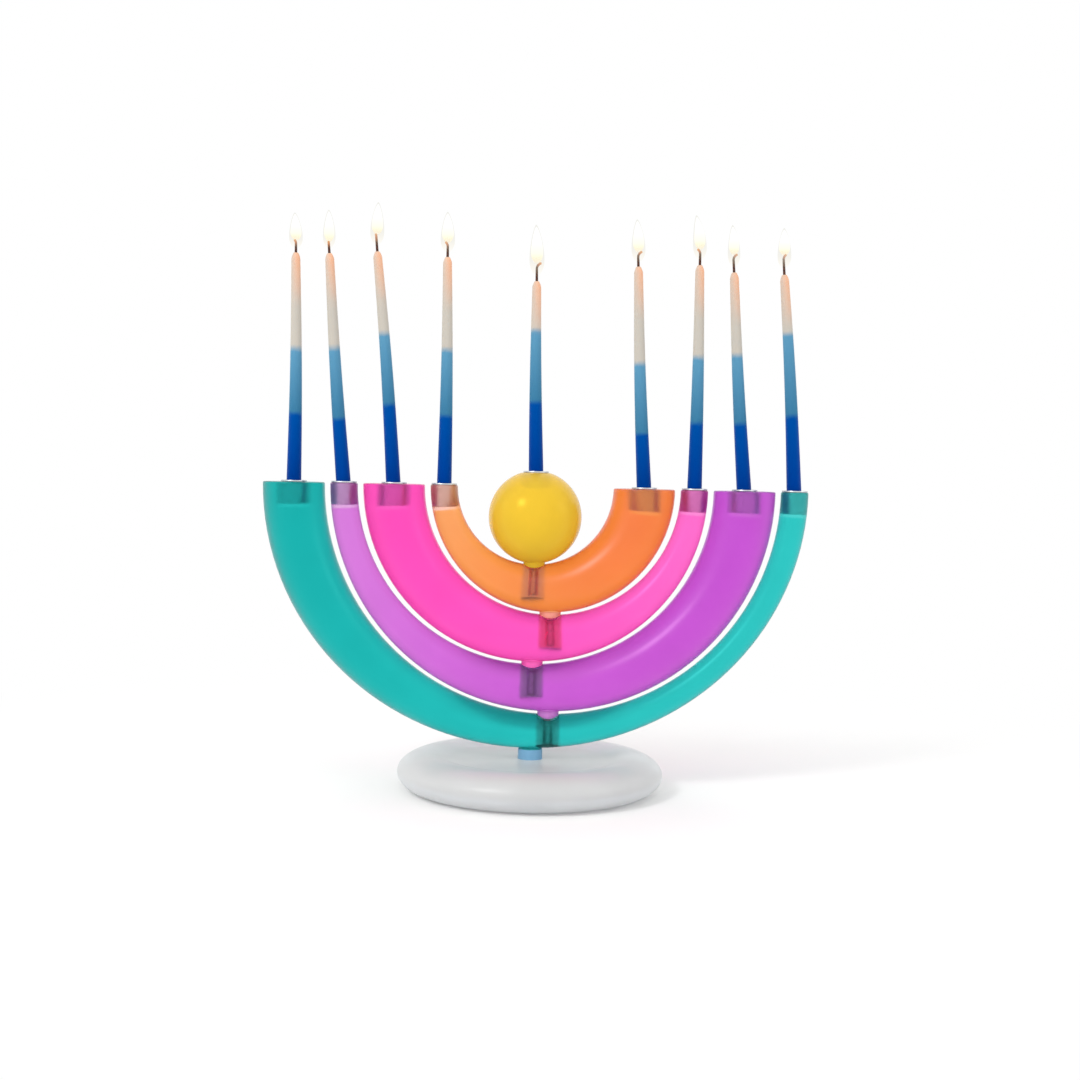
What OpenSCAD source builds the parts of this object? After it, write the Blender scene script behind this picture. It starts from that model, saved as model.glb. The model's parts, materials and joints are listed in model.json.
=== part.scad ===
// Modular menorah: four half-ring arches nested one in another, a ball in the middle and a pebble base.
// Every arch, and the ball, stands on a steel dowel in a bush of the piece below, and can turn and lift off.
// The origin is the middle of the base's underside, with +X to the right, +Y to the back and +Z up.

/* [Arches] */
// Diameter of an arch's round section at its thick end
thick_d = 34.6; // [30:0.2:42]
// Diameter of an arch's round section at its thin end
thin_d = 15.4; // [15.2:0.2:20]
// Radius of the smallest arch's opening
opening_r = 43.8; // [36:0.2:60]
// Space between one arch and the next, at their ends
nest_gap = 3.2; // [2.4:0.1:6]
// Space between one arch and the next, where they join
seat_gap = 2; // [1.2:0.1:2.4]
// Diameter of the largest arch's section at its lowest point
outer_mid_d = 19.2; // [18.4:0.2:26]

/* [Ball] */
// Diameter of the ball
ball_d = 52.4; // [36:0.2:64]
// Diameter of the flat on top of the ball
ball_flat_d = 16.4; // [15.6:0.2:22]

/* [Base] */
// Diameter of the base
base_d = 150; // [120:1:190]
// Height of the base's rounded rim
base_h = 20.6; // [17:0.1:30]
// Diameter of the circle along the top of the rim
crest_d = 116; // [100:1:126]
// Diameter of the flat underside
foot_d = 120; // [80:1:126]
// Diameter of the level floor inside the rim
dish_d = 84; // [40:1:96]
// Depth of that floor below the rim
dish_depth = 2.8; // [1:0.1:3]
// Height that the base's bush stands above that floor, as a collar
collar_h = 5.6; // [0:0.1:10]

/* [Plug joints] */
// Space between the collar and the largest arch, and between the ball and its arch
close_gap = 0.6; // [0.5:0.1:2]
// Diameter of the boss under an arch
boss_d = 12.2; // [11:0.1:12.4]
// Diameter of the boss's flat end
boss_tip_d = 7.6; // [7.2:0.1:9]
// Depth that the boss sits in the dish of its bush
seat_depth = 4.2; // [2:0.1:4.6]
// Diameter of a bush
bush_d = 13.8; // [13.6:0.1:14.2]
// Depth of a bush, where the piece around it leaves room
bush_len = 17; // [13:0.2:18]
// Diameter of a steel dowel
pin_d = 5.8; // [4:0.1:6.2]
// Depth that a dowel reaches into the boss
pin_grip = 3; // [2:0.1:3.2]
// Radial clearance of the dowel in its bush and in the boss
pin_clearance = 0.05; // [0.02:0.01:0.1]

/* [Candle cups] */
// Outer diameter of a cup
cup_d = 12.6; // [11.6:0.1:12.8]
// Bore of a cup
cup_bore_d = 10; // [9.8:0.1:10.6]
// Depth of the bore, from the top of the rim
cup_depth = 12; // [9:0.2:14]
// Thickness of a cup's floor
cup_floor = 1.2; // [0.8:0.1:2]
// Diameter of a cup's rim
rim_d = 14.4; // [13.6:0.1:14.6]
// Height of a cup's rim
rim_h = 1; // [0.6:0.1:1.6]

/* [Candles] */
// Diameter of a candle at its foot
candle_d = 8.2; // [6.8:0.1:8.4]
// Diameter of a candle just under its tip
candle_top_d = 5; // [3.6:0.1:6]
// Length added to every candle
extra_length = 0; // [-40:1:20]
// Diameter of a wick
wick_d = 1.5; // [1:0.1:1.8]

/* [Hidden] */
$fn = 96;
// Arches from the largest to the smallest: side is 1 where the thick end is on the right
COLOURS = ["teal", "purple", "pink", "orange"];
TINTS = ["#00b5b0", "#bf45cc", "#fa3cb4", "#f58a2e"];
BUSH_TINTS = ["#008f8a", "#7b2f82", "#e03565", "#d9562b"];
SIDES = [-1, 1, -1, 1];
LAST = len(COLOURS) - 1;
mean_d = (thick_d + thin_d) / 2;
// An opening's centre is this far from its own arch's axis, so that the outline is centred on the axis
offset_x = (thick_d - thin_d) / 2;
fit = 0.02;
dish_clearance = 0.3;
root_depth = 3;
bush_wall = 3.2;
bush_end = 0.9;
hole_spare = 2;
ring_count = 40;
side_count = 28;

function inner_r(i) = opening_r + (LAST - i) * (mean_d + nest_gap);
function mid_d(i) = i == 0 ? outer_mid_d : mean_d + nest_gap - seat_gap;
function axis_x(i) = i == 0 ? 0 : axis_x(i - 1) - SIDES[i - 1] * offset_x;
function opening_x(i) = axis_x(i) - SIDES[i] * offset_x;
function seat_z(i) = arch_top - inner_r(i);
floor_z = base_h - dish_depth;
arch_top = floor_z + collar_h + close_gap + outer_mid_d + inner_r(0);
ball_z = seat_z(LAST) + close_gap + ball_d / 2;
flat_z = ball_z + sqrt(pow(ball_d / 2, 2) - pow(ball_flat_d / 2, 2));

// Length and mouth of the bush that carries arch i, or that carries the ball at i = 4
function carrier_len(i) = i == 0
    ? collar_h + min(bush_len, floor_z - bush_wall)
    : min(bush_len, mid_d(i - 1) - bush_wall);
function mouth_z(i) = i == 0 ? floor_z + collar_h : seat_z(i - 1);
function post_x(i) = i > LAST ? opening_x(LAST) : axis_x(i);

// Candles from left to right: the arch they stand on, with 4 for the ball, and which end of it
STANDS = [0, 1, 2, 3, 4, 3, 2, 1, 0];
ENDS = [-1, -1, -1, -1, 0, 1, 1, 1, 1];
LENGTHS = [139, 139, 141, 138, 118, 135.5, 136.5, 133.5, 132.5];
// How far each candle leans in its loose cup, in degrees to the right and to the back
LEANS = [[-0.4, 0.6], [-4.3, -0.8], [-5, 0.5], [-0.2, -0.5], [-1, 0.4], [-2.8, 0.9], [-0.2, -0.6],
    [-4.1, 0.7], [-4.4, -0.9]];
// Straight length of each wick above the wax, then how far it curls over and towards which side
WICKS = [[5, 45, 180], [6, 15, 180], [8.7, 25, 180], [5.8, 55, 180], [7, 80, 0], [5.3, 75, 0], [6.2, 60, 180],
    [7, 75, 0], [8.4, 60, 0]];
curl_r = 3.2;
wick_seat = 4;
melt_h = 3.5;
tip_d = 2.6;

function end_d(i, end) = end == SIDES[i] ? thick_d : thin_d;
function end_x(i, end) = opening_x(i) + end * (inner_r(i) + end_d(i, end) / 2);
function cup_x(i, end) = i > LAST ? post_x(i) : end_x(i, end);
function cup_z(i) = i > LAST ? flat_z : arch_top;
function well_z(i) = cup_z(i) + rim_h - cup_depth;

CANDLES = [for (n = [1:len(STANDS)]) str("candle_", n)];

// Diameter of an arch's section at the angle t from its thick end
function tube_d(t, mid) = mid + offset_x * cos(t) + (mean_d - mid) * pow(cos(t), 2);

// A point on the tube's skin, at the angle t along the arch and a round its section
function skin_point(r, mid, t, a) =
    let (d = tube_d(t, mid), reach = r + d / 2 + cos(a) * d / 2)
    [cos(t) * reach, sin(a) * d / 2, -sin(t) * reach];

// A half ring with its thick end on the right and its opening's centre at the origin
module tapered_tube(r, mid) {
    m = side_count;
    last = ring_count * m;
    points = [for (k = [0:ring_count]) for (j = [0:m - 1])
        skin_point(r, mid, 180 * k / ring_count, 360 * j / m)];
    start_cap = [for (j = [m - 1:-1:0]) j];
    end_cap = [for (j = [0:m - 1]) last + j];
    skin = [for (k = [0:ring_count - 1]) for (j = [0:m - 1])
        let (a = k * m + j, b = k * m + (j + 1) % m)
        each [[a, b, b + m], [a, b + m, a + m]]];
    polyhedron(points, concat([start_cap], [end_cap], skin));
}

module arch_tube(i) {
    translate([opening_x(i), 0, arch_top])
        mirror([SIDES[i] < 0 ? 1 : 0, 0, 0])
            tapered_tube(inner_r(i), mid_d(i));
}

// Half the outline of a boss: a bowl that narrows from its root to its flat end at height 0
function bowl(height, spare) = [for (k = [0:8])
    let (t = 90 * k / 8)
    [boss_tip_d / 2 + spare + (boss_d - boss_tip_d) / 2 * cos(t), height * (1 - sin(t))]];

// Space between the piece that stands on dowel i and the piece below it
function gap_under(i) = i == 0 || i > LAST ? close_gap : seat_gap;

// The boss under arch i, or under the ball at i = 4, down to its seat
module boss(i) {
    height = gap_under(i) + seat_depth;
    translate([post_x(i), 0, mouth_z(i) - seat_depth])
        rotate_extrude()
            polygon(concat([[0, 0], [0, height + root_depth], [boss_d / 2, height + root_depth]],
                bowl(height, 0)));
}

// The hole in a boss for its dowel
module pin_hole(i) {
    translate([post_x(i), 0, mouth_z(i) - seat_depth - 1])
        cylinder(d = pin_d + 2 * pin_clearance, h = pin_grip + 1.3);
}

// The hole for the bush that carries arch i
module bush_hole(i) {
    len = carrier_len(i);
    translate([post_x(i), 0, mouth_z(i) - len])
        cylinder(d = bush_d + 2 * fit, h = len + bush_d);
}

// The dish and the bore inside the bush that carries arch i
module bush_inside(i) {
    height = gap_under(i) + seat_depth;
    translate([post_x(i), 0, mouth_z(i) - seat_depth])
        rotate_extrude()
            polygon(concat([[0, 0], [0, height]], bowl(height, dish_clearance)));
    translate([post_x(i), 0, mouth_z(i) - carrier_len(i) + bush_end])
        cylinder(d = pin_d + 2 * pin_clearance, h = carrier_len(i));
}

module bush_blank(i) {
    translate([post_x(i), 0, mouth_z(i) - carrier_len(i)])
        cylinder(d = bush_d, h = carrier_len(i) + bush_d / 2);
}

// The hole that a cup is pressed into
module cup_hole(i, end) {
    drop = cup_depth - rim_h + cup_floor + hole_spare;
    translate([cup_x(i, end), 0, cup_z(i) - drop])
        cylinder(d = cup_d + 2 * fit, h = drop + 1);
}

module cup(i, end) {
    color("#9aa0a2")
        translate([cup_x(i, end), 0, well_z(i)])
            difference() {
                union() {
                    translate([0, 0, -cup_floor]) cylinder(d = cup_d, h = cup_depth + cup_floor);
                    translate([0, 0, cup_depth - rim_h]) cylinder(d = rim_d, h = rim_h);
                }
                cylinder(d = cup_bore_d, h = cup_depth + 1);
            }
}

module arch(i) {
    color(TINTS[i])
        difference() {
            union() {
                arch_tube(i);
                boss(i);
            }
            pin_hole(i);
            bush_hole(i + 1);
            cup_hole(i, -1);
            cup_hole(i, 1);
        }
}

// A bush is cut to the arch's own round skin at its mouth
module arch_bush(i) {
    color(BUSH_TINTS[i])
        difference() {
            intersection() {
                bush_blank(i + 1);
                arch_tube(i);
            }
            bush_inside(i + 1);
        }
}

// The dowel that carries arch i, or the ball at i = 4
module pin(i) {
    foot_z = mouth_z(i) - carrier_len(i) + bush_end;
    color("#8d9093")
        translate([post_x(i), 0, foot_z])
            cylinder(d = pin_d, h = mouth_z(i) - seat_depth + pin_grip - foot_z);
}

module ball() {
    color("#e5c333")
        difference() {
            union() {
                translate([post_x(LAST + 1), 0, ball_z]) sphere(d = ball_d);
                boss(LAST + 1);
            }
            pin_hole(LAST + 1);
            cup_hole(LAST + 1, 0);
            translate([post_x(LAST + 1), 0, flat_z]) cylinder(d = ball_d, h = ball_d / 2);
        }
}

// Points of a quarter ellipse from a, where it runs level, to b, where it runs upright
function quarter(a, b, steps) = [for (k = [0:steps])
    let (t = 90 * k / steps) [a[0] + (b[0] - a[0]) * sin(t), b[1] + (a[1] - b[1]) * cos(t)]];

// Points of a smooth slope from the rim's crest down to the floor inside it
function slope(steps) = [for (k = [0:steps - 1])
    let (t = k / steps)
    [dish_d / 2 + t * (crest_d - dish_d) / 2, floor_z + dish_depth * (1 - cos(180 * t)) / 2]];

module base() {
    wide_z = base_h / 2;
    upper = quarter([crest_d / 2, base_h], [base_d / 2, wide_z], 12);
    lower = quarter([foot_d / 2, 0], [base_d / 2, wide_z], 12);
    rim = concat(upper, [for (k = [len(lower) - 2:-1:0]) lower[k]]);
    color("#dadad6")
        difference() {
            rotate_extrude($fn = 180) polygon(concat([[0, 0], [0, floor_z]], slope(10), rim));
            bush_hole(0);
        }
}

module base_bush() {
    color("#7fb2d6")
        difference() {
            translate([0, 0, mouth_z(0) - carrier_len(0)]) cylinder(d = bush_d, h = carrier_len(0));
            bush_inside(0);
        }
}

// Turns +Z to the way a candle leans
module leaning(n) {
    right = tan(LEANS[n][0]);
    back = tan(LEANS[n][1]);
    // The candle crosses the cup's axis half way down the cup
    translate([cup_x(STANDS[n], ENDS[n]), 0, well_z(STANDS[n]) + cup_depth / 2])
        rotate(a = atan(sqrt(right * right + back * back)), v = [-back, right, 0])
            translate([0, 0, -cup_depth / 2])
                children();
}

function wax_h(n) = LENGTHS[n] + extra_length;

module wax(n) {
    h = wax_h(n);
    outline = [[0, -1], [candle_d / 2, -1], [candle_d / 2, cup_depth + 2], [candle_top_d / 2, h - melt_h],
        [tip_d / 2, h], [0, h]];
    color("#1b63b5")
        difference() {
            leaning(n) rotate_extrude() polygon(outline);
            translate([cup_x(STANDS[n], ENDS[n]), 0, well_z(STANDS[n]) - 4]) cylinder(d = rim_d, h = 4);
            leaning(n) translate([0, 0, wick_seat]) cylinder(d = wick_d + 2 * fit, h = h);
        }
}

module wick(n) {
    straight = wax_h(n) - wick_seat + WICKS[n][0];
    color("#4a2c1c")
        leaning(n)
            translate([0, 0, wick_seat]) {
                cylinder(d = wick_d, h = straight, $fn = 24);
                translate([0, 0, straight])
                    rotate([0, 0, WICKS[n][2]])
                        translate([curl_r, 0, 0])
                            rotate([-90, 0, 180])
                                rotate_extrude(angle = WICKS[n][1], $fn = 48)
                                    translate([curl_r, 0]) circle(d = wick_d, $fn = 24);
            }
}

base();
base_bush();
for (i = [0:LAST]) {
    arch(i);
    pin(i);
    arch_bush(i);
    cup(i, -1);
    cup(i, 1);
}
ball();
pin(LAST + 1);  // ball_pin
cup(LAST + 1, 0);  // ball_cup
for (n = [0:len(CANDLES) - 1]) {
    wax(n);
    wick(n);
}
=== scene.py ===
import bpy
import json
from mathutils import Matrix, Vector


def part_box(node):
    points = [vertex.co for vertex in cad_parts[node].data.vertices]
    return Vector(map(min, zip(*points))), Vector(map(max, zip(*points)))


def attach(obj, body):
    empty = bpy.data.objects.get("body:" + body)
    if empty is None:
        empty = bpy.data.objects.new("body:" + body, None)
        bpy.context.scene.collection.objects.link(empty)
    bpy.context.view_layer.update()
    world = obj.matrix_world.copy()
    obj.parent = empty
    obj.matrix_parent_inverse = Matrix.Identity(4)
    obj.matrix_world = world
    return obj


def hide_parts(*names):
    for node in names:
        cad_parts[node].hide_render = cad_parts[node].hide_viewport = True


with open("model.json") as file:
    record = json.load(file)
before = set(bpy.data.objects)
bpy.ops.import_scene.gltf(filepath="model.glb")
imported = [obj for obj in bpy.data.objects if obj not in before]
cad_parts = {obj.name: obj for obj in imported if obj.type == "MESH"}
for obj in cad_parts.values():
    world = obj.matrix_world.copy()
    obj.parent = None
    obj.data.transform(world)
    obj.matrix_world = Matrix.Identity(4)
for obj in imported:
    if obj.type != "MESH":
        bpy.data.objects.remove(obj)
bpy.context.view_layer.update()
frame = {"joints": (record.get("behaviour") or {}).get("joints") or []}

import json
import math
import bpy
from mathutils import Matrix, Vector

mm = 0.001
up = Vector((0, 0, 1))
scene = bpy.context.scene
joints = {joint["name"]: joint for joint in frame["joints"]}
archNames = ["teal", "purple", "pink", "orange"]  # from the largest to the smallest

camera = {
    "distance": 0.9,      # metres in front of the row of candles
    "height": 0.187,
    "aside": 0.003,
    "tiltDown": 2.88,     # degrees
    "roll": 1.25,
    "lens": 53.3,
}


def makeCamera():
    data = bpy.data.cameras.new("studioCamera")
    data.lens = camera["lens"]
    data.sensor_width = 36
    data.clip_start = 0.01
    eye = bpy.data.objects.new("studioCamera", data)
    scene.collection.objects.link(eye)
    turn = Matrix.Rotation(math.radians(90 - camera["tiltDown"]), 4, "X")
    roll = Matrix.Rotation(math.radians(camera["roll"]), 4, "Z")
    place = Matrix.Translation((camera["aside"], -camera["distance"], camera["height"]))
    eye.matrix_world = place @ turn @ roll
    scene.camera = eye


makeCamera()
scene.view_settings.view_transform = "Standard"
print("camera ready")


def toLinear(code):
    # an sRGB hex code as linear red, green, blue and alpha
    parts = [int(code[i:i + 2], 16) / 255 for i in (1, 3, 5)]
    return [c / 12.92 if c <= 0.04045 else ((c + 0.055) / 1.055) ** 2.4 for c in parts] + [1.0]


def newMaterial(name):
    # a node material with its shader and its output, ready to wire
    mat = bpy.data.materials.new(name)
    mat.use_nodes = True
    tree = mat.node_tree
    shader = next(n for n in tree.nodes if n.type == "BSDF_PRINCIPLED")
    output = next(n for n in tree.nodes if n.type == "OUTPUT_MATERIAL")
    return mat, tree, shader, output


def addNode(tree, kind, settings=None, values=None, links=None):
    # adds one node, sets its properties and its inputs, and links other nodes' outputs to it
    node = tree.nodes.new(kind)
    for key, value in (settings or {}).items():
        setattr(node, key, value)
    for key, value in (values or {}).items():
        node.inputs[key].default_value = value
    for key, source in (links or {}).items():
        tree.links.new(source, node.inputs[key])
    return node


def setRamp(node, stops):
    ramp = node.color_ramp
    while len(ramp.elements) > 1:
        ramp.elements.remove(ramp.elements[-1])
    ramp.elements[0].position = stops[0][0]
    ramp.elements[0].color = toLinear(stops[0][1])
    for place, code in stops[1:]:
        ramp.elements.new(place).color = toLinear(code)


def setShader(shader, values):
    for key, value in values.items():
        shader.inputs[key].default_value = value


def objectMode():
    if bpy.context.object and bpy.context.object.mode != "OBJECT":
        bpy.ops.object.mode_set(mode="OBJECT")


def clearSelection():
    objectMode()
    bpy.ops.object.select_all(action="DESELECT")


def pick(piece):
    # makes this the only selected object and the active one
    clearSelection()
    piece.select_set(True)
    bpy.context.view_layer.objects.active = piece


def applyPlace(piece):
    pick(piece)
    bpy.ops.object.transform_apply(location=True, rotation=True, scale=True)


def copyPiece(piece, name):
    twin = piece.copy()
    twin.data = piece.data.copy()
    twin.name = name
    scene.collection.objects.link(twin)
    return twin


def closeAndFace():
    # still in edit mode: merges doubles, turns all faces outwards and leaves edit mode
    bpy.ops.mesh.select_all(action="SELECT")
    bpy.ops.mesh.remove_doubles(threshold=0.000001)
    bpy.ops.mesh.normals_make_consistent(inside=False)
    bpy.ops.object.mode_set(mode="OBJECT")


def stackRings(name, profile, centre=(0, 0, 0), sides=64):
    # extrudes a disc from ring to ring: each row is a radius, a height and maybe a step to the side
    clearSelection()
    x, y, z = centre
    r, h = profile[0][:2]
    shift = 0
    bpy.ops.mesh.primitive_circle_add(vertices=sides, radius=r, fill_type="NGON", location=(x, y, z + h))
    piece = bpy.context.object
    piece.name = name
    applyPlace(piece)
    bpy.ops.object.mode_set(mode="EDIT")
    bpy.ops.mesh.select_all(action="SELECT")
    for row in profile[1:]:
        nextR, nextH = row[:2]
        nextShift = row[2] if len(row) > 2 else 0
        bpy.ops.mesh.extrude_region_move(TRANSFORM_OT_translate={"value": (nextShift - shift, 0, nextH - h)})
        ratio = nextR / r
        bpy.ops.transform.resize(value=(ratio, ratio, 1), center_override=(x + nextShift, y, z + nextH))
        r, h, shift = nextR, nextH, nextShift
    closeAndFace()
    return piece


def smooth(piece, angle=35):
    pick(piece)
    bpy.ops.object.shade_smooth_by_angle(angle=math.radians(angle))


def combine(piece, tool, operation):
    # joins a tool to the piece, cuts it out or keeps what both share, and removes the tool
    pick(piece)
    cut = piece.modifiers.new("combine", "BOOLEAN")
    cut.operation = operation
    cut.solver = "EXACT"
    cut.object = tool
    bpy.ops.object.modifier_apply(modifier="combine")
    bpy.data.objects.remove(tool)


def roundEdges(piece, width, angle=40, segments=3):
    pick(piece)
    bevel = piece.modifiers.new("roundEdges", "BEVEL")
    bevel.width = width
    bevel.segments = segments
    bevel.limit_method = "ANGLE"
    bevel.angle_limit = math.radians(angle)
    bpy.ops.object.modifier_apply(modifier="roundEdges")


def finishPiece(piece, body, material, replaced=(), angle=35):
    smooth(piece, angle)
    piece.data.name = piece.name
    piece.data.materials.clear()
    piece.data.materials.append(material)
    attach(piece, body)
    if replaced:
        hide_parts(*replaced)


def middle(node):
    low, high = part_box(node)
    return (low + high) / 2


def paint(piece, name, measure):
    # writes one number for each point of the mesh, which a material reads as an attribute
    values = [measure(point.co) for point in piece.data.vertices]
    piece.data.attributes.new(name, "FLOAT", "POINT").data.foreach_set("value", values)


# Cast polyester resin, sanded to a frost: light goes through and comes out soft,
# and its colour is deeper where the piece is thick.
resin = {
    "ior": 1.5,
    "grain": 0.6,         # mm between sanding marks, drawn coarser than the grit so that they show
    "grainDepth": 0.2,    # mm
    "grainBump": 0.12,
    "cloudSize": 22,      # mm, slow changes in the frost
    "cloudShade": 0.93,   # share of the skin colour that the darkest clouds keep
    "cloudHaze": 0.04,    # how far the clouds move the roughness either way
    "depth": 32,          # mm of resin that turn the skin colour to the second one
    "bushDepth": 12,      # mm, the same for the bushes
    "leastColour": 0.006, # no part of the second colour counts as darker than this
    "bossThrough": 0.35,  # the most light that a boss lets through
    # painted glow: the resin gives off a little light in its inner colour, standing in for light scattered
    # inside
    "glow": 0.06,         # light scattered on inside, beyond the bounces that a render follows
    # skin colour, colour after that depth, share of light that the frost scatters back, roughness, gloss
    "teal": ("#58d6d2", "#00b0ac", 0.03, 0.3, 0.15),
    "purple": ("#e8c0e4", "#c546d0", 0.04, 0.3, 0.25),
    "pink": ("#ff98dc", "#ff48ba", 0.04, 0.3, 0.25),
    "orange": ("#ffd6e0", "#f57c18", 0.04, 0.3, 0.15),
    "yellow": ("#f0ca40", "#eec42c", 0.6, 0.22, 0.5),
    "clear": ("#f9f9f8", "#e8ecef", 0.5, 0.34, 0.3),
}
bushing = {
    "teal": ("#d0e0de", "#7c8c8a", 0.05, 0.08, 0.3),
    "purple": ("#d4c4dc", "#6c6c80", 0.05, 0.08, 0.3),
    "pink": ("#f4b8c0", "#cc5c60", 0.05, 0.08, 0.3),
    "orange": ("#f4c4b8", "#be8486", 0.05, 0.08, 0.3),
    "blue": ("#94c8e8", "#74b2dd", 0.6, 0.3, 0.3),
}


def drawJoints(tree, shader, recipe, tint, haze):
    # changes the resin where a piece is marked as glued or as a boss
    skin, inside, milk = recipe[:3]
    glued = addNode(tree, "ShaderNodeAttribute", {"attribute_name": "glued"}).outputs["Fac"]
    boss = addNode(tree, "ShaderNodeAttribute", {"attribute_name": "boss"}).outputs["Fac"]
    # a boss is seen as a solid bowl, because light scatters in the thin air gap around it
    through = addNode(tree, "ShaderNodeMapRange", links={"Value": boss},
                      values={"To Min": 1 - milk, "To Max": min(1 - milk, resin["bossThrough"])})
    bossTint = addNode(tree, "ShaderNodeMix", {"data_type": "RGBA"}, links={"Factor": boss})
    tree.links.new(tint, bossTint.inputs["A"])
    bossTint.inputs["B"].default_value = [(a + b) / 2 for a, b in zip(toLinear(skin), toLinear(inside))]
    # in a glued joint, clear glue fills the gap and light goes straight on, without colour or bend
    skinTint = addNode(tree, "ShaderNodeMix", {"data_type": "RGBA"}, links={"Factor": glued})
    tree.links.new(bossTint.outputs["Result"], skinTint.inputs["A"])
    skinTint.inputs["B"].default_value = (1, 1, 1, 1)
    tree.links.new(skinTint.outputs["Result"], shader.inputs["Base Color"])
    # what each socket gets away from the glue, and its value in the glue
    changes = {
        "Roughness": (haze, 0.0),
        "IOR": (resin["ior"], 1.0),
        "Transmission Weight": (through.outputs["Result"], 1.0),
        # the painted glow away from the glue, none in it
        "Emission Strength": (resin["glow"], 0.0),
    }
    for socket, (away, inGlue) in changes.items():
        change = addNode(tree, "ShaderNodeMapRange", values={"To Max": inGlue}, links={"Value": glued})
        if isinstance(away, float):
            change.inputs["To Min"].default_value = away
        else:
            tree.links.new(away, change.inputs["To Min"])
        tree.links.new(change.outputs["Result"], shader.inputs[socket])


def makeResin(name, recipe, depth, hasJoints):
    mat, tree, shader, output = newMaterial(name)
    skin, inside, milk, frost, gloss = recipe
    where = addNode(tree, "ShaderNodeTexCoord").outputs["Object"]
    cloud = addNode(tree, "ShaderNodeTexNoise", links={"Vector": where},
                    values={"Scale": 1 / (resin["cloudSize"] * mm), "Detail": 2.0}).outputs["Fac"]
    ramp = addNode(tree, "ShaderNodeValToRGB", links={"Fac": cloud})
    setRamp(ramp, [(0.3, skin), (0.7, skin)])
    ramp.color_ramp.elements[1].color = [c * resin["cloudShade"] for c in toLinear(skin)[:3]] + [1.0]
    tint = ramp.outputs["Color"]
    haze = addNode(tree, "ShaderNodeMapRange", links={"Value": cloud}, values={
        "To Min": frost - resin["cloudHaze"], "To Max": frost + resin["cloudHaze"]}).outputs["Result"]
    grain = addNode(tree, "ShaderNodeTexNoise", values={"Scale": 1 / (resin["grain"] * mm), "Detail": 3.0},
                    links={"Vector": where})
    bump = addNode(tree, "ShaderNodeBump", links={"Height": grain.outputs["Fac"]},
                   values={"Strength": resin["grainBump"], "Distance": resin["grainDepth"] * mm})
    tree.links.new(bump.outputs["Normal"], shader.inputs["Normal"])
    # the frost tints its own shine, so the resin keeps its full colour
    tree.links.new(tint, shader.inputs["Specular Tint"])
    # the Emission settings here are the resin's painted glow, in its inner colour
    setShader(shader, {"IOR": resin["ior"], "Transmission Weight": 1 - milk, "Specular IOR Level": gloss,
                       "Emission Color": toLinear(inside), "Emission Strength": resin["glow"]})
    if hasJoints:
        drawJoints(tree, shader, recipe, tint, haze)
    else:
        tree.links.new(tint, shader.inputs["Base Color"])
        tree.links.new(haze, shader.inputs["Roughness"])
    # what each colour loses in a metre, beyond what the skin has taken already
    loss = [max(math.log(s / max(t, resin["leastColour"])), 0) / (depth * mm)
            for s, t in zip(toLinear(skin)[:3], toLinear(inside)[:3])]
    most = max(loss)
    absorb = addNode(tree, "ShaderNodeVolumeAbsorption",
                     values={"Color": [1 - part / most for part in loss] + [1.0], "Density": most})
    tree.links.new(absorb.outputs["Volume"], output.inputs["Volume"])
    return mat


# the base and its bush carry no marks
resinMats = {name: makeResin("frostedResin" + name.capitalize(), resin[name], resin["depth"], name != "clear")
             for name in archNames + ["yellow", "clear"]}
bushMats = {name: makeResin("mouldedBush" + name.capitalize(), recipe, resin["bushDepth"], name != "blue")
            for name, recipe in bushing.items()}
print("resins ready")


# Turned aluminium, bead-blasted: a soft grey shine with fine rings from the lathe.
# Ground steel: a little smoother, with scratches along its length.
# Both are drawn lighter than the bare metals, so that they show through the resin.
metals = {
    "cup": {"colour": "#dcdfe1", "worn": "#b9bdc0", "roughness": 0.34, "marks": 0.35, "along": 0.2},
    "steel": {"colour": "#eceef0", "worn": "#c8cacc", "roughness": 0.28, "marks": 0.5, "along": 12.0},
}
metalMarks = {"dull": 0.1, "bright": 0.06, "bump": 0.2, "depth": 0.05}   # depth in mm


def makeMetal(name, look):
    mat, tree, shader, output = newMaterial(name)
    where = addNode(tree, "ShaderNodeTexCoord").outputs["Object"]
    # marks are this many millimetres apart across the axis, and this many along it
    stretch = addNode(tree, "ShaderNodeMapping", links={"Vector": where}, values={
        "Scale": (1 / (look["marks"] * mm), 1 / (look["marks"] * mm), 1 / (look["along"] * mm))})
    lines = addNode(tree, "ShaderNodeTexNoise", values={"Scale": 1.0, "Detail": 4.0},
                    links={"Vector": stretch.outputs["Vector"]}).outputs["Fac"]
    tint = addNode(tree, "ShaderNodeValToRGB", links={"Fac": lines})
    setRamp(tint, [(0.3, look["worn"]), (0.65, look["colour"])])
    rough = addNode(tree, "ShaderNodeMapRange", links={"Value": lines},
                    values={"To Min": look["roughness"] + metalMarks["dull"],
                            "To Max": look["roughness"] - metalMarks["bright"]})
    bump = addNode(tree, "ShaderNodeBump", links={"Height": lines},
                   values={"Strength": metalMarks["bump"], "Distance": metalMarks["depth"] * mm})
    tree.links.new(tint.outputs["Color"], shader.inputs["Base Color"])
    tree.links.new(rough.outputs["Result"], shader.inputs["Roughness"])
    tree.links.new(bump.outputs["Normal"], shader.inputs["Normal"])
    setShader(shader, {"Metallic": 1.0})
    return mat


cupMat = makeMetal("turnedAluminium", metals["cup"])
steelMat = makeMetal("groundSteel", metals["steel"])
print("metals ready")

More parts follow.
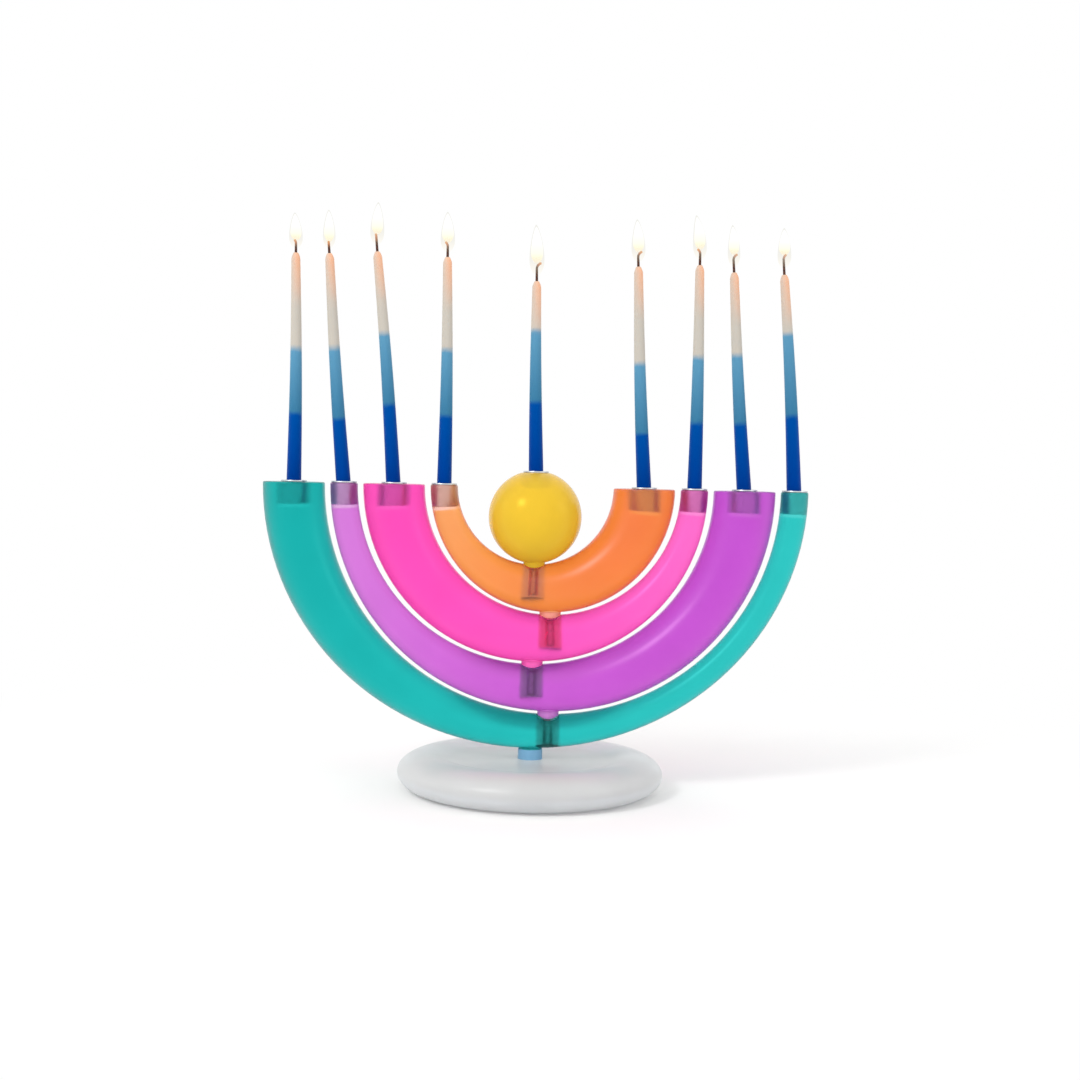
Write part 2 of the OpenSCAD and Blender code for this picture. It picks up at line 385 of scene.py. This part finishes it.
plug = {
    "bossD": 12.2, "tipD": 7.6, "seat": 4.2, "root": 3.0,          # mm
    "closeGap": 0.6, "nestGap": 3.2, "seatGap": 2.0,
    "dishSpare": 0.3, "bushEnd": 0.9, "bushEdge": 0.3, "bushOver": 10,
    "pinEdge": 0.5, "pinSpare": 0.3, "fit": 0.02, "clear": 0.05,
    "markReach": 0.1, "markDepth": 0.5,   # how near a glued wall a marked face lies, outwards and inwards
    "bowlRings": 12,
}
corner = 0.3              # where the middle ring of a rounded edge lies, as a share of the edge


def markGlued(piece, bores):
    # marks the walls of glued holes and sleeves: each bore is its axis in x, its radius and its floor
    points = [point.co for point in piece.data.vertices]
    reach, depth = plug["markReach"] * mm, plug["markDepth"] * mm
    marks = [0.0] * len(piece.data.polygons)
    for x, radius, floor in bores:
        away = [math.hypot(co.x - x, co.y) for co in points]
        onWall = [radius - depth < far < radius + reach and co.z > floor - reach
                  for far, co in zip(away, points)]
        for face in piece.data.polygons:
            if all(onWall[k] for k in face.vertices):
                marks[face.index] = 1.0
    piece.data.attributes.new("glued", "FLOAT", "FACE").data.foreach_set("value", marks)


def bowlRings(gap, spare=0.0):
    # a bowl's outline from its flat end at height 0 up to its root
    tip = plug["tipD"] / 2 * mm + spare
    grow = (plug["bossD"] - plug["tipD"]) / 2 * mm
    height = gap + plug["seat"] * mm
    turns = [math.pi / 2 * (1 - k / plug["bowlRings"]) for k in range(plug["bowlRings"] + 1)]
    return [(tip + grow * math.cos(t), height * (1 - math.sin(t))) for t in turns]


def pinRadius(node):
    low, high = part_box(node)
    return (high.x - low.x) / 2


def makeBush(name, mouth, gap, pinNode, cutter=None):
    # a sleeve with a bowl in its mouth and a bore for the dowel, cut to the skin of the piece around it
    low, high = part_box(name)
    at = ((low.x + high.x) / 2, 0, low.z)
    radius = (high.x - low.x) / 2
    bore = pinRadius(pinNode) + plug["clear"] * mm
    seat = mouth - low.z - (plug["seat"] + plug["fit"]) * mm
    edge = plug["bushEdge"] * mm
    inside = [(r, seat + h) for r, h in bowlRings(gap, plug["dishSpare"] * mm)][::-1]
    rows = [(radius - edge, 0), (radius, edge)]
    if cutter:
        rows += [(radius, inside[0][1])] + inside
    else:
        # a free collar ends level at its mouth, with a rounded lip
        level = mouth - low.z
        inside = [(r, h) for r, h in inside if h < level - edge]
        c = corner * edge
        rows += [(radius, level - edge), (radius - c, level - c), (radius - edge, level)] + inside
    rows += [(bore, seat), (bore, plug["bushEnd"] * mm)]
    piece = stackRings(name + "Sleeve", rows, at, 64)
    if cutter:
        combine(piece, cutter, "INTERSECT")
        markGlued(piece, [(at[0], radius, low.z)])
    return piece


def makePin(name, body):
    low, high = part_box(name)
    r, edge, height = (high.x - low.x) / 2, plug["pinEdge"] * mm, high.z - low.z
    c = corner * edge
    rows = [(r - edge, 0), (r - c, c), (r, edge), (r, height - edge), (r - c, height - c), (r - edge, height)]
    piece = stackRings(name + "Dowel", rows, ((low.x + high.x) / 2, 0, low.z), 40)
    finishPiece(piece, body, steelMat, [name])


archShape = {
    "steps": 72,          # rings along the half ring
    "sides": 56,
    "outerMid": 19.2,     # mm, how thick the largest arch is at its lowest point
    "rimRound": 0.8,      # mm, rounding of the end faces' edges
    "thickEnds": {"teal": -1, "purple": 1, "pink": -1, "orange": 1},  # 1 is the right
}


def archFacts(name):
    # the arch's measures, read from the frame
    low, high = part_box(name + "_arch")
    leftD = 2 * (middle(name + "_cup_left").x - low.x)
    rightD = 2 * (high.x - middle(name + "_cup_right").x)
    innerLeft = low.x + leftD
    innerRight = high.x - rightD
    side = archShape["thickEnds"][name]
    mean = (leftD + rightD) / 2
    mid = archShape["outerMid"] * mm if name == "teal" else mean + (plug["nestGap"] - plug["seatGap"]) * mm
    return {
        "top": high.z, "bottom": low.z, "centre": (innerLeft + innerRight) / 2,
        "inner": (innerRight - innerLeft) / 2, "side": side, "thick": max(leftD, rightD),
        "thin": min(leftD, rightD), "mid": mid, "mean": mean,
    }


def sectionWidth(facts, turn):
    c = math.cos(turn)
    half = (facts["thick"] - facts["thin"]) / 2
    return facts["mid"] + half * c + (facts["mean"] - facts["mid"]) * c * c


def makeTube(name, facts):
    # a round section walked around the opening, changing size as it goes
    clearSelection()
    side = facts["side"]
    centre = Vector((facts["centre"], 0, facts["top"]))
    width = facts["thick"]
    start = centre + Vector((side * (facts["inner"] + width / 2), 0, 0))
    bpy.ops.mesh.primitive_circle_add(vertices=archShape["sides"], radius=width / 2, fill_type="NGON",
                                      location=start)
    piece = bpy.context.object
    piece.name = name
    applyPlace(piece)
    bpy.ops.object.mode_set(mode="EDIT")
    bpy.ops.mesh.select_all(action="SELECT")
    step = math.pi / archShape["steps"]
    for k in range(1, archShape["steps"] + 1):
        turn = step * k
        nextWidth = sectionWidth(facts, turn)
        contact = centre + facts["inner"] * Vector((side * math.cos(turn), 0, -math.sin(turn)))
        bpy.ops.mesh.extrude_region_move(TRANSFORM_OT_translate={"value": (0, 0, 0)})
        bpy.ops.transform.rotate(value=-side * step, orient_axis="Y", center_override=centre)
        ratio = nextWidth / width
        bpy.ops.transform.resize(value=(ratio, ratio, ratio), center_override=contact)
        width = nextWidth
    closeAndFace()
    roundEdges(piece, archShape["rimRound"] * mm, angle=60, segments=4)
    return piece


cup = {
    "outer": 12.6, "bore": 10.0, "depth": 12.0, "floor": 1.2, "rim": 14.4, "rimHeight": 1.0,  # mm
    "edge": 0.25, "spare": 2.0,
}


def drill(piece, x, low, high, diameter):
    tool = stackRings("drill", [(diameter / 2, low), (diameter / 2, high)], (x, 0, 0), 64)
    combine(piece, tool, "DIFFERENCE")


def makeArch(name, above):
    facts = archFacts(name)
    piece = makeTube(name + "ArchBody", facts)
    cutter = copyPiece(piece, "bushCutter")
    gap = plug["closeGap" if name == "teal" else "seatGap"] * mm
    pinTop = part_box(name + "_pin")[1].z
    pinX = middle(name + "_pin").x
    rings = bowlRings(gap)
    rings.append((rings[-1][0], rings[-1][1] + plug["root"] * mm))
    combine(piece, stackRings("boss", rings, (pinX, 0, facts["bottom"]), 56), "UNION")
    drill(piece, pinX, facts["bottom"] - mm, pinTop + plug["pinSpare"] * mm,
          2 * (pinRadius(name + "_pin") + plug["clear"] * mm))
    # the glued holes, for the bush and the two cups: where the axis is in x, floor, top and radius
    bushLow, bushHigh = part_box(name + "_bush")
    holes = [((bushLow.x + bushHigh.x) / 2, bushLow.z, bushHigh.z + plug["bushOver"] * mm,
              (bushHigh.x - bushLow.x) / 2)]
    for end in ("_cup_left", "_cup_right"):
        cupLow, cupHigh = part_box(name + end)
        floor = cupLow.z - cup["spare"] * mm
        holes.append((middle(name + end).x, floor, cupHigh.z + mm, cup["outer"] / 2 * mm))
    for x, floor, top, radius in holes:
        drill(piece, x, floor, top, 2 * (radius + plug["fit"] * mm))
    markGlued(piece, [(x, radius, floor) for x, floor, top, radius in holes])
    tubeBottom = facts["top"] - facts["inner"] - facts["mid"] - plug["markReach"] * mm
    paint(piece, "boss", lambda co: 1.0 if co.z < tubeBottom else 0.0)
    finishPiece(piece, name, resinMats[name], [name + "_arch"], 30)
    gapAbove = plug["closeGap" if above == "ball" else "seatGap"] * mm
    bush = makeBush(name + "_bush", facts["top"] - facts["inner"], gapAbove, above + "_pin", cutter)
    finishPiece(bush, name, bushMats[name], [name + "_bush"])
    makePin(name + "_pin", name + "_dowel")
    print(name, "arch ready", len(piece.data.polygons), "faces")


for archName, nextName in zip(archNames, archNames[1:] + ["ball"]):
    makeArch(archName, nextName)


def makeCups():
    # one cup from its floor up the outside, over the rim and down the bore, then its copies
    e, top = cup["edge"], cup["floor"] + cup["depth"]
    outer, rim, bore = cup["outer"] / 2, cup["rim"] / 2, cup["bore"] / 2
    c, under = corner * e, top - cup["rimHeight"]
    rows = [(outer - e, 0), (outer - c, c), (outer, e), (outer, under), (rim - e, under), (rim, under + e),
            (rim, top - e), (rim - c, top - c), (rim - e, top), (bore + e, top), (bore + c, top - c),
            (bore, top - e), (bore, cup["floor"] + e), (bore - e, cup["floor"])]
    first = stackRings("cupMaster", [(r * mm, h * mm) for r, h in rows], sides=64)
    places = [(name + end, name) for name in archNames for end in ("_cup_left", "_cup_right")]
    places.append(("ball_cup", "ball"))
    for node, body in places:
        piece = copyPiece(first, node + "Shell")
        piece.location = (middle(node).x, 0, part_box(node)[0].z)
        applyPlace(piece)
        finishPiece(piece, body, cupMat, [node])
    bpy.data.objects.remove(first)


makeCups()
print("cups ready")

ballShape = {
    "flatD": 16.4, "flatRound": 0.9,   # mm
    "flatRows": ((0.35, -0.16), (-0.4, 0)),   # out and up from the flat's edge, as shares of its rounding
    "rings": 40,
}


def makeBall():
    low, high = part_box("ball")
    at = middle("ball_pin").x
    radius = (high.x - low.x) / 2
    flat = high.z
    centre = flat - math.sqrt(radius ** 2 - (ballShape["flatD"] / 2 * mm) ** 2)
    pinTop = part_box("ball_pin")[1].z + plug["pinSpare"] * mm
    hole = pinRadius("ball_pin") + plug["clear"] * mm
    neck = plug["bossD"] / 2 * mm
    # up the dowel's hole, round the bowl, up the ball and down the cup's hole
    rows = [(hole, pinTop), (hole, low.z)] + [(r, low.z + h) for r, h in bowlRings(plug["closeGap"] * mm)]
    first = math.asin(neck / radius)
    last = math.pi - math.asin((ballShape["flatD"] / 2 + ballShape["flatRound"]) * mm / radius)
    turns = [first + (last - first) * k / ballShape["rings"] for k in range(ballShape["rings"] + 1)]
    rows += [(radius * math.sin(t), centre - radius * math.cos(t)) for t in turns]
    edge = ballShape["flatRound"] * mm
    flatR = ballShape["flatD"] / 2 * mm
    rows += [(flatR + out * edge, flat + rise * edge) for out, rise in ballShape["flatRows"]]
    well = (cup["outer"] / 2 + plug["fit"]) * mm
    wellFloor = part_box("ball_cup")[0].z - cup["spare"] * mm
    rows += [(well, flat), (well, wellFloor)]
    piece = stackRings("ballBody", rows, (at, 0, 0), 96)
    markGlued(piece, [(at, well, wellFloor)])
    finishPiece(piece, "ball", resinMats["yellow"], ["ball"], 45)
    makePin("ball_pin", "ball_dowel")


makeBall()
print("ball ready")

baseShape = {
    "height": 20.6, "crestD": 116, "footD": 120, "dishD": 84, "dishDepth": 2.8, "holeEdge": 0.3,  # mm
    "rings": 14,
}


def quarterRound(start, end):
    # rings of a quarter ellipse that leaves start level and reaches end upright
    turns = [math.pi / 2 * k / baseShape["rings"] for k in range(baseShape["rings"] + 1)]
    return [(start[0] + (end[0] - start[0]) * math.sin(t), end[1] + (start[1] - end[1]) * math.cos(t))
            for t in turns]


def makeBase():
    # one pebble from its foot, round the rim, down the dish and into the hole for the bush
    low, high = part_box("base")
    side = ((high.x - low.x) / 2 / mm, baseShape["height"] / 2)
    crest, foot, dish = baseShape["crestD"] / 2, baseShape["footD"] / 2, baseShape["dishD"] / 2
    top, depth = baseShape["height"], baseShape["dishDepth"]
    rows = quarterRound((foot, 0), side) + quarterRound((crest, top), side)[-2::-1]
    slopes = [k / baseShape["rings"] for k in range(1, baseShape["rings"] + 1)]
    rows += [(crest + (dish - crest) * t, top - depth * (1 - math.cos(math.pi * t)) / 2) for t in slopes]
    bushLow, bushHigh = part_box("base_bush")
    hole = (bushHigh.x - bushLow.x) / 2 / mm + plug["fit"]
    edge = baseShape["holeEdge"]
    rows += [(hole + edge, top - depth), (hole, top - depth - edge), (hole, bushLow.z / mm)]
    piece = stackRings("baseBody", [(r * mm, h * mm) for r, h in rows], sides=144)
    finishPiece(piece, "base", resinMats["clear"], ["base"], 40)
    bush = makeBush("base_bush", bushHigh.z, plug["closeGap"] * mm, "teal_pin")
    finishPiece(bush, "base", bushMats["blue"], ["base_bush"])


makeBase()
print("base ready")

# Dipped paraffin wax: half matt, with light that soaks in a little, in three colours from the dipping,
# and with the flame's light painted into the colour of its top as a warm tint.
wax = {
    "footD": 8.2, "topD": 5.0, "tipD": 2.6, "melt": 3.5, "seat": 4.0, "overCup": 2.0,  # mm
    "melted": ((0.95, 0.9), (0.82, 1.9), (0.64, 2.9)),   # shares of topD, and mm above the shoulder
    "pool": 0.8, "poolDepth": 0.3,                       # share of tipD, and mm
    "rings": 26,
    "foot": "#00348a", "deep": "#004a9a", "light": "#3a7699", "pale": "#5a92b2",
    "white": "#beb8ae", "flameLightTint": "#ecb28e",
    "ragged": 5, "raggedness": 0.05,      # mm, and how far the bands' edges wander, as a share of a band
    "lumps": 2.5, "lumpDepth": 0.4,       # mm
    # reach and spread of the painted flame light in the wax colour
    "warmLength": 28,                     # mm
    "warmFade": 0.7, "warmLeast": 0.3, "warmMiddle": 0.65, "warmSide": 0.5,
}
wickShape = {
    "thick": 1.5, "curl": 3.2, "ember": 4.2, "strand": 3,  # mm, the curl as a radius
    "bend": 8,            # degrees in one step of the curl
    # share of the thickness, and height as a share of the straight length above the wax
    "straightRows": ((0.96, 0.4), (0.9, 1.0)),
    "foot": 0.8, "tip": 0.75,
}
# tops of the deep and of the light band in mm above the cup's rim, the wick's straight length above the wax,
# how far it curls over and to which side, how far the candle bows, and the flame's height, width and sway
candles = [
    {"bands": (38, 73), "wick": (5.0, 45, -1), "bow": 0.6, "flame": (20.5, 7.6, -0.9)},
    {"bands": (35, 74), "wick": (6.0, 15, -1), "bow": -0.5, "flame": (22.0, 7.0, -0.5)},
    {"bands": (44, 83), "wick": (8.7, 25, -1), "bow": 0.7, "flame": (24.4, 7.8, 0.4)},
    {"bands": (38, 74), "wick": (5.8, 55, -1), "bow": 0.5, "flame": (23.0, 8.0, -0.4)},
    {"bands": (39, 79), "wick": (7.0, 80, 1), "bow": -0.4, "flame": (29.0, 8.4, -0.9)},
    {"bands": (30, 69), "wick": (5.3, 75, 1), "bow": -0.6, "flame": (24.5, 7.8, -1.2)},
    {"bands": (37, 73), "wick": (6.2, 60, -1), "bow": 0.4, "flame": (25.5, 7.6, -2.6)},
    {"bands": (37, 75), "wick": (7.0, 75, 1), "bow": -0.5, "flame": (24.0, 7.0, -1.4)},
    {"bands": (42, 88), "wick": (8.4, 60, 1), "bow": 0.6, "flame": (23.0, 7.6, -0.6)},
]


def makeWaxMat():
    mat, tree, shader, output = newMaterial("dippedParaffin")
    where = addNode(tree, "ShaderNodeTexCoord").outputs["Object"]
    # the dip attribute runs 0 to 1 up the deep band, to 2 up the light one and to 3 at the tip
    dip = addNode(tree, "ShaderNodeAttribute", {"attribute_name": "dip"}).outputs["Fac"]
    ragged = addNode(tree, "ShaderNodeTexNoise", values={"Scale": 1 / (wax["ragged"] * mm), "Detail": 2.0},
                     links={"Vector": where}).outputs["Fac"]
    wave = addNode(tree, "ShaderNodeMath", {"operation": "MULTIPLY_ADD"},
                   {1: wax["raggedness"], 2: -wax["raggedness"] / 2}, {0: ragged})
    level = addNode(tree, "ShaderNodeMath", {"operation": "ADD"}, links={0: dip, 1: wave.outputs[0]})
    share = addNode(tree, "ShaderNodeMath", {"operation": "DIVIDE"}, {1: 3.0}, {0: level.outputs[0]})
    bands = addNode(tree, "ShaderNodeValToRGB", links={"Fac": share.outputs[0]})
    setRamp(bands, [(0.0, wax["foot"]), (0.322, wax["deep"]), (0.342, wax["light"]), (0.652, wax["pale"]),
                    (0.682, wax["white"])])
    # painted flame light: a warm tint mixed into the band colours near the tip
    paintedFlameLight = addNode(tree, "ShaderNodeAttribute", {"attribute_name": "paintedFlameLight"}).outputs["Fac"]
    glow = addNode(tree, "ShaderNodeMix", {"data_type": "RGBA"}, {7: toLinear(wax["flameLightTint"])},
                   {0: paintedFlameLight, 6: bands.outputs["Color"]})
    lumps = addNode(tree, "ShaderNodeTexNoise", values={"Scale": 1 / (wax["lumps"] * mm), "Detail": 2.0},
                    links={"Vector": where}).outputs["Fac"]
    bump = addNode(tree, "ShaderNodeBump", links={"Height": lumps},
                   values={"Strength": 0.25, "Distance": wax["lumpDepth"] * mm})
    rough = addNode(tree, "ShaderNodeMapRange", links={"Value": lumps},
                    values={"To Min": 0.38, "To Max": 0.55})
    tree.links.new(glow.outputs[2], shader.inputs["Base Color"])
    tree.links.new(rough.outputs["Result"], shader.inputs["Roughness"])
    tree.links.new(bump.outputs["Normal"], shader.inputs["Normal"])
    tree.links.new(glow.outputs[2], shader.inputs["Specular Tint"])
    setShader(shader, {"IOR": 1.44, "Specular IOR Level": 0.2, "Subsurface Weight": 0.2,
                       "Subsurface Scale": 2 * mm, "Subsurface Radius": (1.0, 0.8, 0.6)})
    return mat


def makeWickMat():
    # Charred cotton braid: matt and dark brown, with an ember at its end.
    mat, tree, shader, output = newMaterial("charredCotton")
    where = addNode(tree, "ShaderNodeTexCoord").outputs["Object"]
    ember = addNode(tree, "ShaderNodeAttribute", {"attribute_name": "ember"}).outputs["Fac"]
    strands = addNode(tree, "ShaderNodeTexWave", {"bands_direction": "DIAGONAL"},
                      {"Scale": 1 / (wickShape["strand"] * mm), "Distortion": 1.0},
                      {"Vector": where}).outputs["Fac"]
    soot = addNode(tree, "ShaderNodeValToRGB", links={"Fac": strands})
    setRamp(soot, [(0.2, "#35190f"), (0.8, "#5e3526")])
    heat = addNode(tree, "ShaderNodeValToRGB", links={"Fac": ember})
    setRamp(heat, [(0.2, "#000000"), (0.55, "#a8560c"), (1.0, "#e8961e")])
    bump = addNode(tree, "ShaderNodeBump", values={"Strength": 0.6, "Distance": 0.3 * mm},
                   links={"Height": strands})
    tree.links.new(soot.outputs["Color"], shader.inputs["Base Color"])
    tree.links.new(heat.outputs["Color"], shader.inputs["Emission Color"])
    tree.links.new(bump.outputs["Normal"], shader.inputs["Normal"])
    setShader(shader, {"Roughness": 0.9, "Emission Strength": 1.0})
    return mat


def makeFlameMat(name, low, mid, high, clear, strength):
    # Burning wax vapour: no surface, only light, yellow by the wick and nearly white above it.
    # clear is how much air shows at its foot and higher up
    mat, tree, shader, output = newMaterial(name)
    tree.nodes.remove(shader)
    rise = addNode(tree, "ShaderNodeAttribute", {"attribute_name": "rise"}).outputs["Fac"]
    tint = addNode(tree, "ShaderNodeValToRGB", links={"Fac": rise})
    setRamp(tint, [(0.03, low), (0.28, mid), (0.6, high)])
    light = addNode(tree, "ShaderNodeEmission", values={"Strength": strength},
                    links={"Color": tint.outputs["Color"]})
    air = addNode(tree, "ShaderNodeBsdfTransparent")
    share = addNode(tree, "ShaderNodeMapRange", links={"Value": rise},
                    values={"From Min": 0.04, "From Max": 0.3, "To Min": clear[0], "To Max": clear[1]})
    mix = addNode(tree, "ShaderNodeMixShader", links={
        0: share.outputs["Result"], 1: light.outputs["Emission"], 2: air.outputs["BSDF"]})
    tree.links.new(mix.outputs["Shader"], output.inputs["Surface"])
    return mat


cupOrder = ([name + "_cup_left" for name in archNames] + ["ball_cup"]
            + [name + "_cup_right" for name in reversed(archNames)])
waxMat = makeWaxMat()
wickMat = makeWickMat()
coreMat = makeFlameMat("flameCore", "#ffe08a", "#fffbe6", "#ffffff", (0.95, 0.03), 1.25)
veilMat = makeFlameMat("flameVeil", "#fff0c8", "#efece0", "#e6e5dc", (0.97, 0.62), 1.0)
flameShape = {
    # height and half width, as shares of the whole
    "rings": [(0.0, 0.1), (0.04, 0.36), (0.1, 0.62), (0.17, 0.84), (0.25, 0.97), (0.34, 1.0), (0.44, 0.97),
              (0.55, 0.88), (0.66, 0.76), (0.76, 0.62), (0.85, 0.46), (0.93, 0.29), (0.98, 0.14),
              (1.0, 0.04)],
    "foot": 0.35,         # where it starts on the wick's straight length above the wax
    "coreBelow": 1.0,     # mm from the end of the wick down to the foot of the bright core
    "coreHeight": 0.96, "coreWidth": 0.8, "coreSway": 0.9,   # shares of the veil's
}


def makeFlame(name, body, wickFoot, height, width, sway, material):
    rows = [(share * width / 2 * mm, t * height * mm, sway * t * t * mm) for t, share in flameShape["rings"]]
    piece = stackRings(name, rows, wickFoot, 28)
    paint(piece, "rise", lambda co: (co.z - wickFoot.z) / (height * mm))
    finishPiece(piece, body, material, angle=180)


def makeCandle(number, look):
    name = "candle_" + str(number)
    pull = joints[name + "_pull"]
    axis = Vector(pull["axis"]).normalized()
    # upright at first, on the middle of the cup's floor, then turned about a point half way down the cup
    half = cup["depth"] / 2 * mm
    pivot = Vector((middle(cupOrder[number - 1]).x, 0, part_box(cupOrder[number - 1])[1].z - half))
    toFoot = Matrix.Translation((0, 0, -half))
    place = Matrix.Translation(pivot) @ up.rotation_difference(axis).to_matrix().to_4x4() @ toFoot
    foot = place.translation
    flatR = wax["tipD"] / 2 * mm
    tilt = math.hypot(axis.x, axis.y)
    tall = (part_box(name + "_wax")[1].z - foot.z - flatR * tilt) / axis.z
    bandLow, bandHigh = [cup["depth"] * mm + b * mm for b in look["bands"]]
    footR, topR, rimAt = wax["footD"] / 2 * mm, wax["topD"] / 2 * mm, (cup["depth"] + wax["overCup"]) * mm
    shoulder = tall - wax["melt"] * mm
    rows = [(footR, -mm), (footR, wax["seat"] * mm), (footR, rimAt)]
    for k in range(1, wax["rings"] + 1):
        t = k / wax["rings"]
        bow = look["bow"] * mm * math.sin(math.pi * t)
        rows.append((footR + (topR - footR) * t, rimAt + (shoulder - rimAt) * t, bow))
    rows += [(topR * share, shoulder + rise * mm) for share, rise in wax["melted"]]
    hole = (wickShape["thick"] / 2 + plug["fit"]) * mm
    rows += [(flatR, tall), (flatR * wax["pool"], tall - wax["poolDepth"] / 2 * mm),
             (hole, tall - wax["poolDepth"] * mm), (hole, wax["seat"] * mm)]
    piece = stackRings(name + "Wax", rows, sides=36)

    def dip(co):
        if co.z < bandLow:
            return co.z / bandLow
        if co.z < bandHigh:
            return 1 + (co.z - bandLow) / (bandHigh - bandLow)
        return 2 + (co.z - bandHigh) / (tall - bandHigh)

    paint(piece, "dip", dip)
    # painted flame light: the wax colour turns warm near the tip, more on the side away from the key light
    paint(piece, "paintedFlameLight", lambda co: max(0, 1 - (tall - co.z) / (wax["warmLength"] * mm)) ** wax["warmFade"]
          * min(1, max(wax["warmLeast"], wax["warmMiddle"] + wax["warmSide"] * co.x / topR)))
    piece.matrix_world = place
    applyPlace(piece)
    # the foot is cut level with the floor of its cup
    bpy.ops.object.mode_set(mode="EDIT")
    bpy.ops.mesh.select_all(action="SELECT")
    bpy.ops.mesh.bisect(plane_co=foot + plug["fit"] * mm * up, plane_no=up, use_fill=True, clear_inner=True)
    bpy.ops.object.mode_set(mode="OBJECT")
    finishPiece(piece, name, waxMat, [name + "_wax"], 50)

    straight, curl, side = look["wick"]
    r = wickShape["thick"] / 2 * mm
    tip = tall + straight * mm
    rows = [(wickShape["foot"] * r, wax["seat"] * mm), (r, (wax["seat"] + 0.2) * mm), (r, tall)]
    rows += [(share * r, tall + rise * straight * mm) for share, rise in wickShape["straightRows"]]
    wick = stackRings(name + "Wick", rows, sides=16)
    bpy.ops.object.mode_set(mode="EDIT")
    bpy.ops.mesh.select_all(action="DESELECT")
    bpy.ops.object.mode_set(mode="OBJECT")
    for face in wick.data.polygons:
        face.select = face.normal.z > 0.9 and face.center.z > tip - 0.1 * mm
    bpy.ops.object.mode_set(mode="EDIT")
    steps = max(3, round(curl / wickShape["bend"]))
    centre = Vector((side * wickShape["curl"] * mm, 0, tip))
    end = Vector((0, 0, tip))
    turn = side * math.radians(curl)
    for k in range(steps):
        bpy.ops.mesh.extrude_region_move(TRANSFORM_OT_translate={"value": (0, 0, 0)})
        bpy.ops.transform.rotate(value=-turn / steps, orient_axis="Y", center_override=centre)
    turned = Matrix.Rotation(turn, 4, "Y")
    end = centre + turned @ (end - centre)
    bpy.ops.transform.resize(value=[wickShape["tip"]] * 3, center_override=end)
    closeAndFace()
    paint(wick, "ember", lambda co: max(0, 1 - (co - end).length / (wickShape["ember"] * mm)))
    wick.matrix_world = place
    applyPlace(wick)
    finishPiece(wick, name, wickMat, [name + "_wick"], 60)

    height, width, sway = look["flame"]
    wickFoot = place @ Vector((0, 0, tall + flameShape["foot"] * straight * mm))
    makeFlame(name + "FlameVeil", name, wickFoot, height, width, sway, veilMat)
    # the bright core starts by the end of the wick and follows the veil's own bend
    start = ((place @ end).z - wickFoot.z) / mm - flameShape["coreBelow"]
    bend = (start / height) ** 2
    inner = wickFoot + Vector((sway * bend * mm, 0, start * mm))
    makeFlame(name + "FlameCore", name, inner, height * flameShape["coreHeight"] - start,
              width * flameShape["coreWidth"], sway * (flameShape["coreSway"] - bend), coreMat)


for number, look in enumerate(candles, 1):
    makeCandle(number, look)
print("candles ready")

studio = {
    "paper": "#ffffff",   # the surround, and the floor far away
    "floor": "#f6f6f5",
    "surround": 1.0,
    "fadeStart": 0.08,    # metres from the middle where the floor starts to melt into the surround
    "fadeEnd": 0.5,
    "floorRadius": 9.0,
    # place, aim, size in metres and power in watts
    "lights": {
        "keyBox": ((-0.9, -1.1, 1.15), (0, 0, 0.16), 0.45, 10.0),
        "sideBox": ((1.3, -0.5, 0.7), (0, 0, 0.16), 0.6, 1.5),
    },
}


def makeStudio():
    world = bpy.data.worlds.new("surround")
    scene.world = world
    world.use_nodes = True
    background = next(n for n in world.node_tree.nodes if n.type == "BACKGROUND")
    background.inputs["Color"].default_value = toLinear(studio["paper"])
    background.inputs["Strength"].default_value = studio["surround"]
    clearSelection()
    bpy.ops.mesh.primitive_circle_add(vertices=128, radius=studio["floorRadius"], fill_type="NGON")
    floor = bpy.context.object
    floor.name = "paperFloor"
    mat, tree, shader, output = newMaterial("paperFloor")
    setShader(shader, {"Base Color": toLinear(studio["floor"]), "Roughness": 0.9})
    where = addNode(tree, "ShaderNodeTexCoord").outputs["Object"]
    far = addNode(tree, "ShaderNodeVectorMath", {"operation": "LENGTH"}, links={0: where})
    fade = addNode(tree, "ShaderNodeMapRange", {"interpolation_type": "SMOOTHSTEP"},
                   {"From Min": studio["fadeStart"], "From Max": studio["fadeEnd"]},
                   {"Value": far.outputs["Value"]})
    glow = addNode(tree, "ShaderNodeEmission", values={
        "Color": toLinear(studio["paper"]), "Strength": studio["surround"]})
    mix = addNode(tree, "ShaderNodeMixShader", links={
        0: fade.outputs["Result"], 1: shader.outputs["BSDF"], 2: glow.outputs["Emission"]})
    tree.links.new(mix.outputs["Shader"], output.inputs["Surface"])
    floor.data.materials.append(mat)
    for name, (place, aim, size, power) in studio["lights"].items():
        data = bpy.data.lights.new(name, "AREA")
        data.size = size
        data.energy = power
        light = bpy.data.objects.new(name, data)
        scene.collection.objects.link(light)
        light.location = place
        light.rotation_euler = (Vector(aim) - Vector(place)).to_track_quat("-Z", "Y").to_euler()


makeStudio()
print("studio ready")
